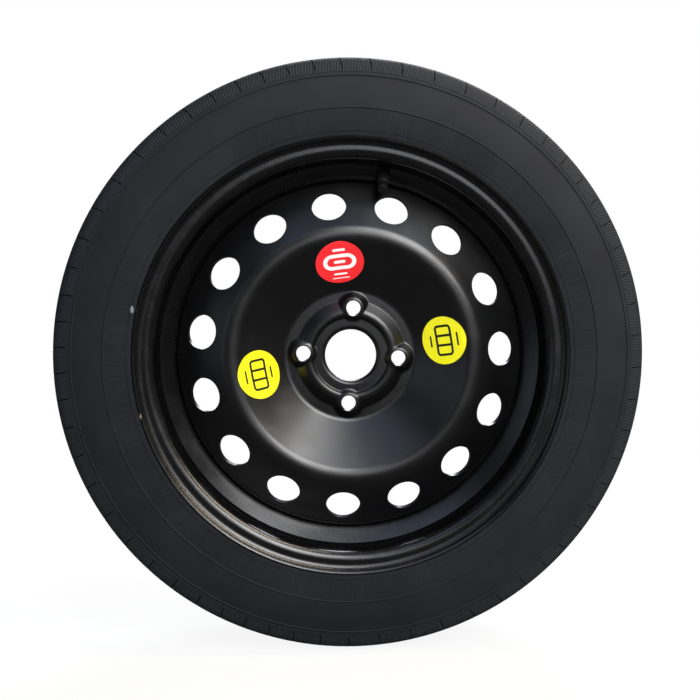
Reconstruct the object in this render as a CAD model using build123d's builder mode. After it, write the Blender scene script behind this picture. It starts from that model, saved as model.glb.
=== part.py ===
from build123d import *
import os
from math import atan2, cos, degrees, pi, radians, sin, sqrt, tan

# A space saver spare wheel: a narrow tyre on a pressed steel wheel, with a snap-in valve.
# The wheel's centre is the origin and its axle line is Y. The outer face, the one with
# the stickers, looks towards -Y, and Z is up. All lengths are in millimetres.
# Sections are drawn in (r, u): r is the distance from the axle line, and u the distance
# outwards from the middle plane of the rim.

# Rim, rolled from strip: its tyre side
bead_seat_r = 202.8
rim_sheet = 2.5
flange_height = 17.5
flange_curl_r = 9.0
flange_foot_r = 6.5
lip_flat = 1.2
lip_reach = 12.7
lip_drop = 2.0
lip_bend_r = 2.0
bead_seat_angle = 5.0
bead_seat_length = 19.6
hump_half_width = 3.2
hump_height = 1.6
hump_r = 3.5
hump_foot_r = 4.0
ledge_length = 30.8
well_depth = 19.8
well_outer_run = 13.0
well_inner_run = 8.0
well_shoulder_r = 3.6
well_corner_r = 5.0

# Disc, pressed from sheet: its outer side
disc_sheet = 3.5
hub_offset = 7.0
bore_r = 27.05
collar_gap = 0.5
collar_bend_r = 4.2
collar_height = 4.0
ridge_inner_r = 39.5
ridge_step = 1.7
ridge_step_height = 2.7
ridge_step_bend_r = 3.8
ridge_crest_r = 47.0
ridge_height = 7.3
ridge_bend_r = 8.0
ridge_outer_r = 58.0
ridge_crease_r = 1.2
hub_ring_r = 69.0
hub_ring_bend_r = 8.0
bowl_angle = 35.2
crest_r = 124.0
crest_bend_r = 18.0
edge_bend_r = 6.0
skirt_fit = 0.05
skirt_length = 20.5
skirt_edge = 5.1

# Bolt holes and vents
bolt_count = 4
bolt_circle_r = 50.0
bolt_first_angle = 87.1
bolt_hole_r = 7.5
bolt_seat_r = 8.7
bolt_seat_angle = 60.0
boss_foot_r = 16.6
boss_top_r = 10.4
boss_height = 8.0
boss_edge_r = 2.5
vent_count = 15
vent_first_angle = 98.7
vent_place = 0.567
vent_share = 0.5375

# Weld beads behind the disc
weld_count = 4
weld_leg = 3.4
weld_arc = 58.0
weld_face_r = 6.8
weld_gap = 0.05

# Tyre
tyre_r = 303.0
tyre_half_width = 63.5
widest_share = 0.491
tread_edge_inset = 20.5
tread_drop = 2.4
shoulder_drop = 15.0
shoulder_inset = 5.9
bead_fit = 0.1
bead_width = 16.5
bead_lip_flat = 1.0
tread_thickness = 14.0
sidewall_thickness = 8.0
bead_rise = 19.2
bead_thickness = 7.8
inner_shoulder_drop = 20.0
groove_count = 3
groove_spacing = 22.0
groove_width = 6.0
groove_depth = 5.5
wall_ring_r = 0.9
wall_ring_places = (0.13, 0.605)
cut_count = 62
cut_width = 1.6
cut_depth = 4.5
cut_run_in = 4.5
cut_start = 29.0
cut_end_depth = 2.2
cut_slant = 11.0
cut_pitch_swing = 1.6
cut_pitch_waves = 5

# Snap-in valve, measured along its own axis from the rim's outer skin
valve_angle = 79.8
valve_hole_r = 5.75
valve_fit = 0.05
valve_seat_gap = 0.15
valve_head_r = 9.2
valve_head_length = 9.5
valve_head_rim = 3.2
valve_boot_r = 7.6
valve_neck_r = 5.4
valve_boot_length = 19.0
valve_boot_edge_r = 1.2
stem_r = 3.0
stem_bore_r = 1.5
stem_thread_r = 3.85
stem_chamber_r = 2.4
stem_length = 29.0
stem_tail = 3.0
chamber_depth = 13.0

# Valve core inside the stem
core_fit = 0.05
core_top_gap = 0.6
barrel_length = 7.0
barrel_wall = 0.6
barrel_floor = 0.8
gasket_length = 1.6
gasket_depth = 0.35
gasket_rise = 1.2
pin_r = 0.45
pin_head_r = 1.05
pin_head_length = 0.5
pin_head_drop = 1.0
pin_running_fit = 0.08
cup_r = 1.9
cup_length = 1.4
spring_wire_r = 0.14
spring_turns = 4

# Valve cap
cap_r = 4.9
cap_fit = 0.12
cap_roof = 1.2
cap_skirt_gap = 0.4
cap_rib_count = 18
cap_rib_r = 0.35
seal_length = 0.8
seal_fit = 0.05

# Stickers
sticker_r = 25.0
sticker_film = 0.2
sticker_lift = 0.15
sticker_place = 0.518
sticker_red_angle = 97.3
sticker_right_angle = 9.6
sticker_left_angle = 191.1

os.makedirs("parts", exist_ok=True)


def meridian(angle, slant=0):
    """The plane through the axle line at an angle from +X: local x is r, local y is u.

    A slant turns it about its own radius, out of line with the axle."""
    a = radians(angle)
    t = radians(slant)
    normal = (sin(a) * cos(t), sin(t), -cos(a) * cos(t))
    return Plane(origin=(0, 0, 0), x_dir=(cos(a), 0, sin(a)), z_dir=normal)


def place(angle, r, u):
    """A point (r, u) of the meridian at an angle, in the wheel's frame."""
    a = radians(angle)
    return Vector(r * cos(a), -u, r * sin(a))


def slope_plane(angle, r, u, lean):
    """A plane on a slope that leans outwards from the axle line by lean degrees."""
    a = radians(angle)
    t = radians(lean)
    normal = (sin(t) * cos(a), -cos(t), sin(t) * sin(a))
    return Plane(origin=place(angle, r, u), x_dir=(-sin(a), 0, cos(a)), z_dir=normal)


def finish(part, name):
    """Labels a piece and writes its STEP file."""
    part.label = name
    export_step(part, f"parts/{name}.step")


section = meridian(0)
# The rim is as wide as lets its lips end level with the tyre's sides
rim_width = 2 * (tyre_half_width - lip_reach)
half_width = rim_width / 2

# Rim section
flange_r = bead_seat_r + flange_height
lip_end = half_width + lip_reach
seat_toe_r = bead_seat_r - bead_seat_length * tan(radians(bead_seat_angle))
seat_toe = half_width - bead_seat_length
hump_top = seat_toe - hump_half_width
hump_base = hump_top - hump_half_width
ledge_end = half_width - ledge_length
well_r = bead_seat_r - well_depth
well_outer = ledge_end - well_outer_run
well_inner = -(ledge_end - well_inner_run)


def flange_points(side):
    """The tyre side of one flange and bead seat, from the lip to the well, for side 1 or -1."""
    return [
        (flange_r - lip_drop, side * lip_end),
        (flange_r, side * (half_width + flange_curl_r + lip_flat)),
        (flange_r, side * half_width),
        (bead_seat_r, side * half_width),
        (seat_toe_r, side * seat_toe),
        (seat_toe_r + hump_height, side * hump_top),
        (seat_toe_r, side * hump_base),
        (seat_toe_r, side * ledge_end),
    ]


flange_bends = [
    lip_bend_r,
    flange_curl_r,
    flange_foot_r,
    hump_foot_r,
    hump_r,
    hump_foot_r,
    well_shoulder_r,
]
rim_points = [
    *flange_points(1),
    (well_r, well_outer),
    (well_r, well_inner),
    *reversed(flange_points(-1)),
]
rim_bends = [*flange_bends, well_corner_r, well_corner_r, *reversed(flange_bends)]

# The valve stands square on the slope of the well
valve_lean = -degrees(atan2(well_outer_run, seat_toe_r - well_r))
valve_r = (seat_toe_r + well_r) / 2 - rim_sheet * sin(radians(-valve_lean))
valve_u = (ledge_end + well_outer) / 2 + rim_sheet * cos(radians(valve_lean))
valve_plane = slope_plane(valve_angle, valve_r, valve_u, valve_lean)
valve_axis = Axis(valve_plane.origin, valve_plane.z_dir)
valve_section = Plane(
    origin=valve_plane.origin,
    x_dir=valve_plane.x_dir,
    z_dir=valve_plane.x_dir.cross(valve_plane.z_dir),
)

with BuildPart() as rim:
    with BuildSketch(section):
        with BuildLine():
            rim_skin = FilletPolyline(*rim_points, radius=rim_bends)
            offset(rim_skin, amount=rim_sheet, side=Side.RIGHT)
        make_face()
    revolve(axis=Axis.Y)
    with BuildSketch(valve_plane):
        Circle(valve_hole_r)
    extrude(amount=2 * rim_sheet, both=True, mode=Mode.SUBTRACT)

finish(rim.part, "rim")

# Disc section, from the bore to the end of the skirt: its outer side
seat_front = hub_offset + disc_sheet
collar_front = seat_front + collar_height
collar_end = hub_offset + collar_gap
crest_corner = seat_front + (crest_r - hub_ring_r) * tan(radians(bowl_angle))
skirt_r = well_r - rim_sheet - skirt_fit
skirt_end = -skirt_edge
edge_corner = skirt_end + skirt_length
disc_points = [
    (bore_r, collar_end),
    (bore_r, collar_front),
    (ridge_inner_r, collar_front),
    (ridge_inner_r + ridge_step, collar_front + ridge_step_height),
    (ridge_crest_r, seat_front + ridge_height),
    (ridge_outer_r, seat_front),
    (hub_ring_r, seat_front),
    (crest_r, crest_corner),
    (skirt_r, edge_corner),
    (skirt_r, skirt_end),
]
disc_bends = [
    collar_bend_r,
    ridge_crease_r,
    ridge_step_bend_r,
    ridge_bend_r,
    ridge_crease_r,
    hub_ring_bend_r,
    crest_bend_r,
    edge_bend_r,
]
slope_run = skirt_r - crest_r
slope_drop = crest_corner - edge_corner
vent_slope_angle = degrees(atan2(slope_drop, slope_run))
vent_circle_r = crest_r + vent_place * slope_run
vent_u = crest_corner - vent_place * slope_drop
vent_r = vent_share * sqrt(slope_run**2 + slope_drop**2) / 2
boss_taper = degrees(atan2(boss_foot_r - boss_top_r, boss_height))
boss_front = seat_front + boss_height
pocket_foot_r = boss_foot_r - disc_sheet * tan(radians(90 - boss_taper) / 2)


def vent_plane(index):
    """The plane of one vent, square on the slope outside the crest."""
    angle = vent_first_angle + index * 360 / vent_count
    return slope_plane(angle, vent_circle_r, vent_u, vent_slope_angle)


# The sheet is what the punch and the die leave between them: the outer form less the inner form
with BuildPart() as wheel_disc:
    with BuildSketch(section):
        with BuildLine():
            disc_skin = FilletPolyline(*disc_points, radius=disc_bends)
            Polyline((skirt_r, skirt_end), (bore_r, skirt_end), (bore_r, collar_end))
        make_face()
    revolve(axis=Axis.Y)
    with BuildSketch(Plane.XZ.offset(seat_front)):
        with PolarLocations(bolt_circle_r, bolt_count, bolt_first_angle):
            Circle(boss_foot_r)
    extrude(amount=boss_height, taper=boss_taper)
    boss_tops = wheel_disc.faces().filter_by(Axis.Y).group_by(Axis.Y)[0]
    fillet(boss_tops.edges(), boss_edge_r)
    with BuildSketch(section):
        with BuildLine():
            offset(disc_skin, amount=disc_sheet, side=Side.RIGHT, closed=False)
            Polyline(
                (skirt_r - disc_sheet, skirt_end),
                (skirt_r - disc_sheet, skirt_end - disc_sheet),
                (bore_r - disc_sheet, skirt_end - disc_sheet),
                (bore_r - disc_sheet, collar_end),
                (bore_r + disc_sheet, collar_end),
            )
        make_face()
    revolve(axis=Axis.Y, mode=Mode.SUBTRACT)
    with BuildSketch(Plane.XZ.offset(hub_offset)):
        with PolarLocations(bolt_circle_r, bolt_count, bolt_first_angle):
            Circle(pocket_foot_r)
    extrude(amount=boss_height, taper=boss_taper, mode=Mode.SUBTRACT)
    with Locations(Plane.XZ.offset(boss_front)):
        with PolarLocations(bolt_circle_r, bolt_count, bolt_first_angle):
            CounterSinkHole(
                bolt_hole_r,
                bolt_seat_r,
                depth=boss_height,
                counter_sink_angle=bolt_seat_angle,
            )
    with BuildSketch(*[vent_plane(index) for index in range(vent_count)]):
        Circle(vent_r)
    extrude(amount=2 * disc_sheet, both=True, mode=Mode.SUBTRACT)

finish(wheel_disc.part, "wheel_disc")

# Weld beads in the corner behind the skirt
bead_root_r = skirt_r + skirt_fit - weld_gap
bead_root = skirt_end - weld_gap
weld_pitch = 360 / weld_count
weld_starts = [index * weld_pitch + (weld_pitch - weld_arc) / 2 for index in range(weld_count)]
with BuildPart() as weld_beads:
    with BuildSketch(*[meridian(start) for start in weld_starts]):
        with BuildLine():
            legs = Polyline(
                (bead_root_r - weld_leg, bead_root),
                (bead_root_r, bead_root),
                (bead_root_r, bead_root - weld_leg),
            )
            RadiusArc(legs @ 1, legs @ 0, weld_face_r)
        make_face()
    revolve(axis=Axis.Y, revolution_arc=weld_arc)

finish(weld_beads.part, "weld_beads")

# Tyre section: half of it, mirrored in the middle plane
widest_r = bead_seat_r + widest_share * (tyre_r - bead_seat_r)
tread_half_width = tyre_half_width - tread_edge_inset
shoulder_r = tyre_r - shoulder_drop
shoulder_half_width = tyre_half_width - shoulder_inset
tread_edge = (tyre_r - tread_drop, tread_half_width)
shoulder = (shoulder_r, shoulder_half_width)
bead_lip = (flange_r + bead_fit, half_width + flange_curl_r + bead_lip_flat)
toe = (bead_seat_r + bead_fit - bead_width * tan(radians(bead_seat_angle)), half_width - bead_width)
bead_inner = (bead_seat_r + bead_rise, half_width - bead_thickness)
inner_shoulder = (tyre_r - inner_shoulder_drop, shoulder_half_width - tread_thickness)
liner_r = tyre_r - tread_thickness


def cut_angle(index):
    """Where a shoulder cut stands: the pitch swings, so that the tread doesn't hum on one note."""
    swing = cut_pitch_swing * sin(2 * pi * cut_pitch_waves * index / cut_count)
    return index * 360 / cut_count + swing


def cut_points(side):
    """The outline of a shoulder cut in its meridian plane, for side 1 or -1."""
    points = [
        (tyre_r + cut_depth, cut_start),
        (tyre_r - cut_depth, cut_start + cut_run_in),
        (tyre_r - tread_drop - cut_depth, tread_half_width),
        (shoulder_r, shoulder_half_width - cut_end_depth),
        (shoulder_r, tyre_half_width),
        (tyre_r + cut_depth, tyre_half_width),
    ]
    return [(r, side * u) for r, u in points]


with BuildPart() as tyre:
    with BuildSketch(section):
        with BuildLine():
            crown = TangentArc((tyre_r, 0), tread_edge, tangent=(0, 1))
            TangentArc(tread_edge, shoulder, tangent=crown % 1)
            wall = ThreePointArc(shoulder, (widest_r, tyre_half_width), bead_lip)
            FilletPolyline(
                bead_lip,
                (flange_r + bead_fit, half_width - bead_fit),
                (bead_seat_r + bead_fit, half_width - bead_fit),
                toe,
                radius=[flange_curl_r + bead_fit, flange_foot_r - bead_fit],
            )
            Line(toe, bead_inner)
            ThreePointArc(bead_inner, (widest_r, tyre_half_width - sidewall_thickness), inner_shoulder)
            Polyline(inner_shoulder, (liner_r, tread_half_width - tread_thickness), (liner_r, 0))
            mirror(about=Plane.XZ)
        make_face()
        for ring_place in wall_ring_places:
            ring = wall @ ring_place
            with Locations((ring.X, ring.Y), (ring.X, -ring.Y)):
                Circle(wall_ring_r)
        with GridLocations(groove_depth, groove_spacing, 1, groove_count):
            with Locations((tyre_r, 0)):
                Rectangle(2 * groove_depth, groove_width, mode=Mode.SUBTRACT)
    revolve(axis=Axis.Y)
    with BuildSketch(*[meridian(cut_angle(index), cut_slant) for index in range(cut_count)]):
        for side in (1, -1):
            Polygon(*cut_points(side))
    extrude(amount=cut_width / 2, both=True, mode=Mode.SUBTRACT)

finish(tyre.part, "tyre")

# Snap-in valve: rubber body, drawn as (distance from the valve's axis, height above the rim's skin)
head_top = -rim_sheet - valve_seat_gap
head_end = head_top - valve_head_length
with BuildPart() as valve_body:
    with BuildSketch(valve_section):
        with BuildLine():
            Polyline(
                (stem_r + valve_fit, head_end),
                (valve_hole_r, head_end),
                (valve_head_r, head_top - valve_head_rim),
                (valve_head_r, head_top),
                (valve_hole_r - valve_fit, head_top),
                (valve_hole_r - valve_fit, valve_seat_gap),
                (valve_boot_r, valve_seat_gap),
                (valve_boot_r, valve_seat_gap + valve_boot_edge_r),
                (valve_neck_r, valve_boot_length),
                (stem_r + valve_fit, valve_boot_length),
                close=True,
            )
        make_face()
    revolve(axis=valve_axis)

finish(valve_body.part, "valve_body")

# Brass stem: bonded in the rubber, with a threaded nose and a chamber for the core
nose_start = valve_boot_length + valve_fit
chamber_floor = stem_length - chamber_depth
with BuildPart() as valve_stem:
    with BuildSketch(valve_section):
        with BuildLine():
            Polyline(
                (stem_bore_r, -stem_tail),
                (stem_r, -stem_tail),
                (stem_r, nose_start),
                (stem_thread_r, nose_start),
                (stem_thread_r, stem_length - (stem_thread_r - stem_r)),
                (stem_r, stem_length),
                (stem_chamber_r, stem_length),
                (stem_chamber_r, chamber_floor),
                (stem_bore_r, chamber_floor - (stem_chamber_r - stem_bore_r)),
                close=True,
            )
        make_face()
    revolve(axis=valve_axis)

finish(valve_stem.part, "valve_stem")

# Valve core: barrel with its gasket, and the sprung pin with its cup
barrel_r = stem_chamber_r - core_fit
barrel_top = stem_length - core_top_gap
barrel_bottom = barrel_top - barrel_length
floor_top = barrel_bottom + barrel_floor
gasket_low = barrel_bottom + gasket_rise
gasket_high = gasket_low + gasket_length
with BuildPart() as core_barrel:
    with BuildSketch(valve_section):
        with BuildLine():
            Polyline(
                (pin_r + pin_running_fit, barrel_bottom),
                (barrel_r, barrel_bottom),
                (barrel_r, gasket_low),
                (barrel_r - gasket_depth, gasket_low),
                (barrel_r - gasket_depth, gasket_high),
                (barrel_r, gasket_high),
                (barrel_r, barrel_top),
                (barrel_r - barrel_wall, barrel_top),
                (barrel_r - barrel_wall, floor_top),
                (pin_r + pin_running_fit, floor_top),
                close=True,
            )
        make_face()
    revolve(axis=valve_axis)

finish(core_barrel.part, "core_barrel")

with BuildPart() as core_gasket:
    with BuildSketch(valve_section):
        with Locations((barrel_r - gasket_depth, gasket_low)):
            Rectangle(gasket_depth, gasket_length, align=Align.MIN)
    revolve(axis=valve_axis)

finish(core_gasket.part, "core_gasket")

pin_top = stem_length - pin_running_fit
head_low = barrel_top - pin_head_drop - pin_head_length
cup_top = barrel_bottom - core_fit
cup_bottom = cup_top - cup_length
foot_low = cup_bottom - core_fit - pin_head_length
with BuildPart() as core_pin:
    with BuildSketch(valve_section):
        with Locations((0, foot_low)):
            Rectangle(pin_r, pin_top - foot_low, align=Align.MIN)
            Rectangle(pin_head_r, pin_head_length, align=Align.MIN)
        with Locations((0, head_low)):
            Rectangle(pin_head_r, pin_head_length, align=Align.MIN)
    revolve(axis=valve_axis)

finish(core_pin.part, "core_pin")

with BuildPart() as core_cup:
    with BuildSketch(valve_section):
        with Locations((pin_r + core_fit, cup_bottom)):
            Rectangle(cup_r - pin_r - core_fit, cup_length, align=Align.MIN)
    revolve(axis=valve_axis)

finish(core_cup.part, "core_cup")

coil_r = (pin_r + barrel_r - barrel_wall) / 2
coil_low = floor_top + spring_wire_r
coil_height = head_low - spring_wire_r - coil_low
with BuildPart() as core_spring:
    with BuildLine():
        coil = Helix(
            pitch=coil_height / spring_turns,
            height=coil_height,
            radius=coil_r,
            center=valve_plane.offset(coil_low).origin,
            direction=valve_plane.z_dir,
        )
    with BuildSketch(Plane(origin=coil @ 0, z_dir=coil % 0)):
        Circle(spring_wire_r)
    sweep(path=coil)

finish(core_spring.part, "core_spring")

# Valve cap with its seal
cap_bore_r = stem_thread_r + cap_fit
cap_bottom = valve_boot_length + cap_skirt_gap
seal_low = stem_length + seal_fit
roof_low = seal_low + seal_length + seal_fit
cap_top = roof_low + cap_roof
with BuildPart() as valve_cap:
    with BuildSketch(valve_plane.offset(cap_bottom)):
        Circle(cap_r)
        with PolarLocations(cap_r, cap_rib_count):
            Circle(cap_rib_r)
    extrude(amount=cap_top - cap_bottom)
    with BuildSketch(valve_plane.offset(cap_bottom)):
        Circle(cap_bore_r)
    extrude(amount=roof_low - cap_bottom, mode=Mode.SUBTRACT)

finish(valve_cap.part, "valve_cap")

with BuildPart() as cap_seal:
    with BuildSketch(valve_plane.offset(seal_low)):
        Circle(cap_bore_r - seal_fit)
    extrude(amount=seal_length)

finish(cap_seal.part, "cap_seal")

# Stickers: film that follows the bowl of the disc
sticker_circle_r = hub_ring_r + sticker_place * (crest_r - hub_ring_r)
sticker_u = seat_front + sticker_place * (crest_corner - seat_front)
stickers = {
    "sticker_red": sticker_red_angle,
    "sticker_yellow_right": sticker_right_angle,
    "sticker_yellow_left": sticker_left_angle,
}
for sticker_name, sticker_angle in stickers.items():
    with BuildPart() as sticker:
        with BuildSketch(section):
            layers = ((sticker_lift + sticker_film, Mode.ADD), (sticker_lift, Mode.SUBTRACT))
            for rise, mode in layers:
                with BuildLine():
                    bowl_skin = FilletPolyline(*disc_points[6:9], radius=[crest_bend_r])
                    offset(bowl_skin, amount=rise, side=Side.LEFT)
                make_face(mode=mode)
        revolve(axis=Axis.Y)
        with BuildSketch(slope_plane(sticker_angle, sticker_circle_r, sticker_u, -bowl_angle)):
            Circle(sticker_r)
        extrude(amount=sticker_r, both=True, mode=Mode.INTERSECT)
    finish(sticker.part, sticker_name)
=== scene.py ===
# %% [markdown]
# # A space saver spare wheel
# A narrow tyre on a black pressed steel wheel, seen almost square on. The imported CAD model
# is loaded first, because every piece made here sits in its frame: the wheel's centre is
# the origin, the axle line is Y, the outer face looks towards -Y and Z is up.

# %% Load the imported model
from math import atan2, ceil, cos, pi, radians, sin, sqrt, tan

import bmesh
import bpy
from mathutils import Matrix, Vector


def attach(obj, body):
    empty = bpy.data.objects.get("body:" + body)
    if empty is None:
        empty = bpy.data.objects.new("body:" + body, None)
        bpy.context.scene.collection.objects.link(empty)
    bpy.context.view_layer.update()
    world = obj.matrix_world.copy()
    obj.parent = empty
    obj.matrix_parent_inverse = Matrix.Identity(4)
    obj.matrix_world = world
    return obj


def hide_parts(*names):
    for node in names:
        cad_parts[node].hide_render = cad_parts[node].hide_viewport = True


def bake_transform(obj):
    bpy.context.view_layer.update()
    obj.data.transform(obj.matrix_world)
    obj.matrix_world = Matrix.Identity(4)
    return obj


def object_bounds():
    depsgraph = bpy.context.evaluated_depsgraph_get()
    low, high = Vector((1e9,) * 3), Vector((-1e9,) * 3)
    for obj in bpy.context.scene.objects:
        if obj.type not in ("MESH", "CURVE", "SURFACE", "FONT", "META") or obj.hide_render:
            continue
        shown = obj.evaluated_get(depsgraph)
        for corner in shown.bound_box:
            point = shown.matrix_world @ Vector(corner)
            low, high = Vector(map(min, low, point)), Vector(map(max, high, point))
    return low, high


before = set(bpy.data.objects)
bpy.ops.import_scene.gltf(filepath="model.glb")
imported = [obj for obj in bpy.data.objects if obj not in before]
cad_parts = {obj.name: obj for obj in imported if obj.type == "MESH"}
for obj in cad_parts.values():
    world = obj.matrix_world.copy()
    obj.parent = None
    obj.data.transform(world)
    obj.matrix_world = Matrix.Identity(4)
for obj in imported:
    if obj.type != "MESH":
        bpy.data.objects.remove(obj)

cad_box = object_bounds()
scene = bpy.context.scene
scene.view_settings.view_transform = "Standard"
MM = 0.001
print("CAD nodes:", sorted(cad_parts))

# %% [markdown]
# ## Camera
# The ring of bolt holes, the vents, the rim's lip and the tyre's outline don't share one
# centre in the picture. That parallax tells where the camera stood: about three degrees
# above the axle line, three degrees to its left, and a little under a metre away.

# %% The camera
CAMERA_ABOVE = radians(3.04)
CAMERA_LEFT = radians(3.0)
CAMERA_DISTANCE = 948.7 * MM
AXLE_SHIFT = Vector((0.2, -4.7)) * MM
FOCAL_PIXELS = 887.6
FRAME_PIXELS = 700

camera_data = bpy.data.cameras.new("camera")
camera_data.lens = FOCAL_PIXELS / FRAME_PIXELS * camera_data.sensor_width
back = Vector((
    -sin(CAMERA_LEFT) * cos(CAMERA_ABOVE),
    -cos(CAMERA_LEFT) * cos(CAMERA_ABOVE),
    sin(CAMERA_ABOVE),
))
right = Vector((cos(CAMERA_LEFT), -sin(CAMERA_LEFT), 0))
up = back.cross(right)
camera = bpy.data.objects.new("camera", camera_data)
turn = Matrix((right, up, back)).transposed().to_4x4()
stand = back * CAMERA_DISTANCE - right * AXLE_SHIFT.x - up * AXLE_SHIFT.y
camera.matrix_world = Matrix.Translation(stand) @ turn
scene.collection.objects.link(camera)
scene.camera = camera
print("camera at", [round(c, 3) for c in stand], "lens", round(camera_data.lens, 1))

# %% [markdown]
# ## Small helpers
# Colours are written as the sRGB hex values that a picture shows, so one function turns
# them to the linear values that shaders use. One more adds a node with its settings and
# links, another starts a material with its shader, and the rest are short forms of nodes
# that come up again and again.

# %% Colours, nodes and materials
def linear(hex_colour):
    """The linear RGBA of an sRGB hex colour."""
    parts = [int(hex_colour[i:i + 2], 16) / 255 for i in (1, 3, 5)]
    return (*[p / 12.92 if p <= 0.04045 else ((p + 0.055) / 1.055) ** 2.4 for p in parts], 1)


def add(tree, kind, inputs=None, **settings):
    """Adds a node; inputs maps a socket to a value, or to another node's output."""
    node = tree.nodes.new(kind)
    for name, value in settings.items():
        setattr(node, name, value)
    for socket, value in (inputs or {}).items():
        if isinstance(value, bpy.types.NodeSocket):
            tree.links.new(value, node.inputs[socket])
        else:
            node.inputs[socket].default_value = value
    return node


def new_material(name, **values):
    """A material with one Principled shader; values are set on its own sockets."""
    material = bpy.data.materials.new(name)
    material.use_nodes = True
    tree = material.node_tree
    shader = tree.nodes["Principled BSDF"]
    for socket, value in values.items():
        shader.inputs[socket.replace("_", " ")].default_value = value
    return material, tree, shader


def calc(tree, operation, *values):
    """The output of a Math node."""
    return add(tree, "ShaderNodeMath", dict(enumerate(values)), operation=operation).outputs[0]


def vector(tree, operation, *values):
    """The output of a Vector Math node: a number for a length, and else a vector."""
    node = add(tree, "ShaderNodeVectorMath", dict(enumerate(values)), operation=operation)
    return node.outputs["Value" if operation == "LENGTH" else "Vector"]


def noise(tree, place, grain, detail=2.0, **more):
    """The outputs of a noise pattern with a grain in mm."""
    values = {"Vector": place, "Scale": 1 / (grain * MM), "Detail": detail, **more}
    return add(tree, "ShaderNodeTexNoise", values).outputs


def bumped(tree, shader, height, strength, depth):
    """Roughens a shader by a height pattern with a depth in mm."""
    values = {"Height": height, "Strength": strength, "Distance": depth * MM}
    tree.links.new(add(tree, "ShaderNodeBump", values).outputs["Normal"], shader.inputs["Normal"])


def fade(tree, value, start, end, low=0.0, high=1.0):
    """A value taken smoothly from low to high between start and end."""
    return add(tree, "ShaderNodeMapRange", {
        "Value": value, "From Min": start, "From Max": end, "To Min": low, "To Max": high,
    }, interpolation_type="SMOOTHSTEP").outputs["Result"]


def spot(tree, place, centre, size):
    """1 inside an ellipsoid with a centre and half sizes in metres, falling to 0 just outside it."""
    share = vector(tree, "DIVIDE", vector(tree, "SUBTRACT", place, centre), size)
    return fade(tree, vector(tree, "LENGTH", share), 0.75, 1.1, 1.0, 0.0)


def tint(tree, mask, under, over):
    """One colour over another where the mask is 1."""
    return add(tree, "ShaderNodeMix", {0: mask, 6: under, 7: over}, data_type="RGBA").outputs[2]


def ramp(tree, factor, stops):
    """A colour ramp through (position, hex colour) stops."""
    node = add(tree, "ShaderNodeValToRGB", {"Fac": factor})
    elements = node.color_ramp.elements
    while len(elements) < len(stops):
        elements.new(0.5)
    for element, (position, colour) in zip(elements, stops):
        element.position = position
        element.color = linear(colour)
    return node.outputs["Color"]


# %% [markdown]
# ## Light and floor
# Black paint shows little but mirror images, so each lamp stands where one of the photo's
# highlights needs it. The key lamp at the upper right draws the crest, and one nearer to the
# axle line draws the hub and the rim's lip. A warm lamp that grazes the wheel's face from the
# same side lights the bends of the well, and a wide bluish one above gives the bowl its
# gradient. A weak lamp on the left fills in, and the rear lamp is for views from behind. The
# white around the wheel is the colour of the floor, the backdrop and the world as the camera
# sees them, so no extra light falls on the paint. Part of the floor's colour is still lit, and
# that part keeps the shadow.

# %% Lamps and world
def softbox(name, off_axis, around, distance, size, power, colour):
    """A flat lamp off the axle line by one angle and round it by another, in degrees, m and W."""
    data = bpy.data.lights.new(name, "AREA")
    data.shape = "RECTANGLE"
    data.size, data.size_y = size
    data.energy = power
    data.color = linear(colour)[:3]
    lamp = bpy.data.objects.new(name, data)
    a, t = radians(around), radians(off_axis)
    towards = Vector((sin(t) * cos(a), -cos(t), sin(t) * sin(a)))
    facing = towards.to_track_quat("Z", "Y").to_matrix().to_4x4()
    lamp.matrix_world = Matrix.Translation(towards * distance) @ facing
    scene.collection.objects.link(lamp)
    return lamp


softbox("key_lamp", 40, 57, 2.2, (1.2, 1.2), 44, "#FFFDFA")
softbox("front_lamp", 18, 57, 2.2, (0.8, 0.8), 5, "#F6F8FF")
softbox("low_lamp", 82, 55, 2.3, (0.4, 2.0), 40, "#FFEBCF")
softbox("sky_lamp", 54, 88, 2.8, (3.6, 1.2), 11, "#C6DAFF")
softbox("fill_lamp", 50, 175, 2.6, (1.6, 1.6), 3, "#DCE8FF")
softbox("rear_lamp", 135, 75, 2.4, (1.6, 1.2), 70, "#F4F7FF")

world = bpy.data.worlds.new("studio")
world.use_nodes = True
tree = world.node_tree
seen = add(tree, "ShaderNodeLightPath").outputs["Is Camera Ray"]
dim = add(tree, "ShaderNodeBackground", {"Color": linear("#A0A8B4"), "Strength": 0.2}).outputs[0]
plain = add(tree, "ShaderNodeBackground", {"Color": linear("#FFFFFF"), "Strength": 1.0}).outputs[0]
sky = add(tree, "ShaderNodeMixShader", {0: seen, 1: dim, 2: plain}).outputs[0]
tree.links.new(sky, tree.nodes["World Output"].inputs["Surface"])
scene.world = world

# %% Floor and backdrop
FLOOR_SIZE = 7.0
FLOOR_WHITE = 0.9
MIRRORED_WHITE = 0.08
SHADOW_NEAR, SHADOW_FAR = 0.6, 1.5

white, tree, shader = new_material("white_paper", Base_Color=linear("#F2F2F2"), Roughness=0.9)
path = add(tree, "ShaderNodeLightPath").outputs
seen = calc(tree, "MAXIMUM", path["Is Camera Ray"], path["Is Transmission Ray"])
place = add(tree, "ShaderNodeTexCoord").outputs["Object"]
reach = vector(tree, "LENGTH", place)
straight = calc(tree, "MULTIPLY", seen, fade(tree, reach, SHADOW_NEAR, SHADOW_FAR, FLOOR_WHITE, 1.0))
# A floor as white as the camera sees it would grey the black paint, so its mirror image is dimmer
share = calc(tree, "MAXIMUM", straight, path["Is Glossy Ray"])
strength = calc(tree, "MAXIMUM", seen, MIRRORED_WHITE)
glow = add(tree, "ShaderNodeEmission", {"Color": linear("#FFFFFF"), "Strength": strength}).outputs[0]
mix = add(tree, "ShaderNodeMixShader", {0: share, 1: shader.outputs[0], 2: glow}).outputs[0]
tree.links.new(mix, tree.nodes["Material Output"].inputs["Surface"])

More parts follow.
